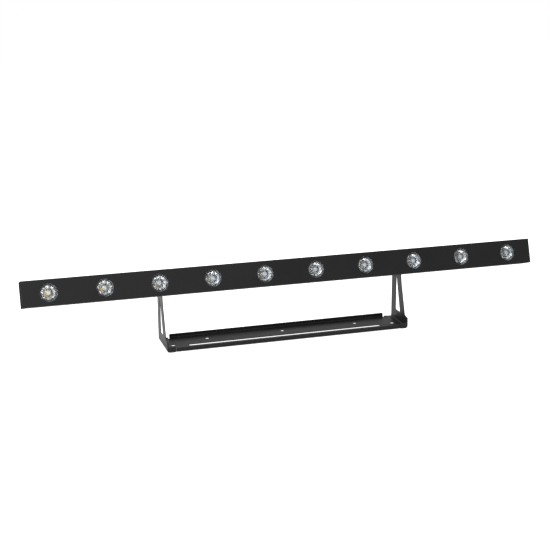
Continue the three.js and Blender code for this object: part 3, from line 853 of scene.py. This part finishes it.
def clamp_knob(side, word):
    """Six-lobed grip round a collar whose end is sunk in the grip's face, and a steel stud."""
    body = f"clamp_knob_{word}"
    inside, tip = SPAN / 2 + GAP, CASE_HALF - 12
    ends = sorted((side * (inside + 3), side * (inside + 16)))
    grip = slab(lobed(14.6, 1.4, 6), [circle((0, 0), 8.5, 48)], *ends, side_plate)
    finish_piece(f"grip_{word}", grip, LAMP, KNOB_PLASTIC, body, (body,), bevel=1.1)
    collar = [(0, inside), (9, inside), (9, inside + 14.6), (7.6, inside + 15.2), (0, inside + 15.2)]
    hub = turned(collar, 48, closed=False)
    to_side = LAMP @ Matrix.Rotation(-side * math.pi / 2, 4, "Z")
    finish_piece(f"hub_{word}", hub, to_side, KNOB_PLASTIC, body, bevel=0.4)
    rod = [(0, tip), (3.5, tip), (4, tip + 0.7), (4, inside + 1), (0, inside + 1)]
    stud = turned(rod, 32, closed=False)
    finish_piece(f"stud_{word}", stud, to_side, BUSH_STEEL, body)


for cap_side, cap_word in ((-1, "left"), (1, "right")):
    end_cap(cap_side, cap_word)
    clamp_knob(cap_side, cap_word)
driver_cover_screws()
power_socket("power_in", -195, SOCKET_BLUE)
power_socket("power_out", 195, SOCKET_GREY)
data_in_contacts(-150)
data_out_contacts(150)
release_tab(150)
for key_name, key_x in (("menu", 6), ("up", 20), ("down", 34), ("enter", 48)):
    push_button(key_name, key_x)
display(-22)
fuse(-110)

DRESSED = {
    "housing": (HOUSING_BLACK, 0.25), "led_board": (BOARD_WHITE, 0.0),
    "driver_tray": (CASE_PAINT, 0.4), "driver_cover": (CASE_PAINT, 0.25),
    "power_supply": (SUPPLY_METAL, 0.5), "control_board": (BOARD_GREEN, 0.1),
    "friction_washer_left": (WASHER_NYLON, 0.2), "friction_washer_right": (WASHER_NYLON, 0.2),
    "pivot_bush_left": (BUSH_STEEL, 0.2), "pivot_bush_right": (BUSH_STEEL, 0.2),
}
for dressed_node, (dressed_material, dressed_bevel) in DRESSED.items():
    dress(dressed_node, dressed_material, dressed_bevel)


# ---- floor, light and camera --------------------------------------------------------------------
def floor():
    """Plain pale floor, just under the object. It glows toward the camera, so shadows on it stay light."""
    size, below, glow = 6.0, 0.0003, 0.72
    corners = [(-size, -size, 0), (size, -size, 0), (size, size, 0), (-size, size, 0)]
    mesh = bpy.data.meshes.new("floor")
    mesh.from_pydata(corners, [], [(0, 1, 2, 3)])
    plane = bpy.data.objects.new("floor", mesh)
    plane.location.z = CAD_BOX[0].z - below
    m = Nodes("floor_white")
    m.set(m.shader, "Base Color", rgba(0.85))
    m.set(m.shader, "Roughness", 0.9)
    m.set(m.shader, "Specular IOR Level", 0.0)
    m.set(m.shader, "Emission Color", rgba(1.0))
    seen = m.tree.nodes.new("ShaderNodeLightPath").outputs["Is Camera Ray"]
    lift = m.add("ShaderNodeMath")
    lift.operation = "MULTIPLY"
    m.set(lift, 0, seen)
    m.set(lift, 1, glow)
    m.set(m.shader, "Emission Strength", lift.outputs[0])
    mesh.materials.append(m.material)
    bpy.context.scene.collection.objects.link(plane)


def area_light(name, place, target, size, power):
    """A rectangular lamp at a place, facing its target."""
    data = bpy.data.lights.new(name, "AREA")
    data.shape, data.size, data.size_y, data.energy = "RECTANGLE", *size, power
    light = bpy.data.objects.new(name, data)
    light.location = place
    light.rotation_euler = (Vector(target) - Vector(place)).to_track_quat("-Z", "Y").to_euler()
    bpy.context.scene.collection.objects.link(light)


def studio():
    """Plain surroundings, a little brighter to the camera than as a light, and three soft lamps."""
    light_strength, seen_strength = 0.62, 1.0
    world = bpy.data.worlds.new("studio")
    world.use_nodes = True
    tree = world.node_tree
    background = tree.nodes["Background"]
    background.inputs["Color"].default_value = rgba(1.0)
    seen = tree.nodes.new("ShaderNodeLightPath").outputs["Is Camera Ray"]
    strength = tree.nodes.new("ShaderNodeMapRange")
    tree.links.new(seen, strength.inputs["Value"])
    strength.inputs["To Min"].default_value = light_strength
    strength.inputs["To Max"].default_value = seen_strength
    tree.links.new(strength.outputs["Result"], background.inputs["Strength"])
    bpy.context.scene.world = world
    bpy.context.scene.view_settings.view_transform = "Standard"
    area_light("key", (-1.5, -1.9, 1.5), (-0.2, 0, 0.1), (1.3, 1.3), 44.0)
    area_light("side", (-2.4, 0.2, 1.2), (0, 0, 0.1), (1.0, 1.0), 12.0)
    area_light("top", (0.2, 0.3, 2.4), (0, 0, 0.1), (2.4, 1.6), 26.0)


def camera():
    """Looks from in front of the lamp body, left of its middle and above it."""
    focal_over_width = 2.16
    yaw, pitch, roll = math.radians(17.02), math.radians(-15.66), math.radians(-0.32)
    data = bpy.data.cameras.new("camera")
    data.sensor_width = 36.0
    data.lens = focal_over_width * data.sensor_width
    data.clip_end = 50.0
    eye = bpy.data.objects.new("camera", data)
    turn = Matrix.Rotation(-yaw, 4, "Z") @ Matrix.Rotation(math.pi / 2 + pitch, 4, "X")
    turn = turn @ Matrix.Rotation(roll, 4, "Z")
    eye.matrix_world = Matrix.Translation((-0.6568, -2.0823, 0.7302)) @ turn
    bpy.context.scene.collection.objects.link(eye)
    bpy.context.scene.camera = eye


floor()
studio()
camera()
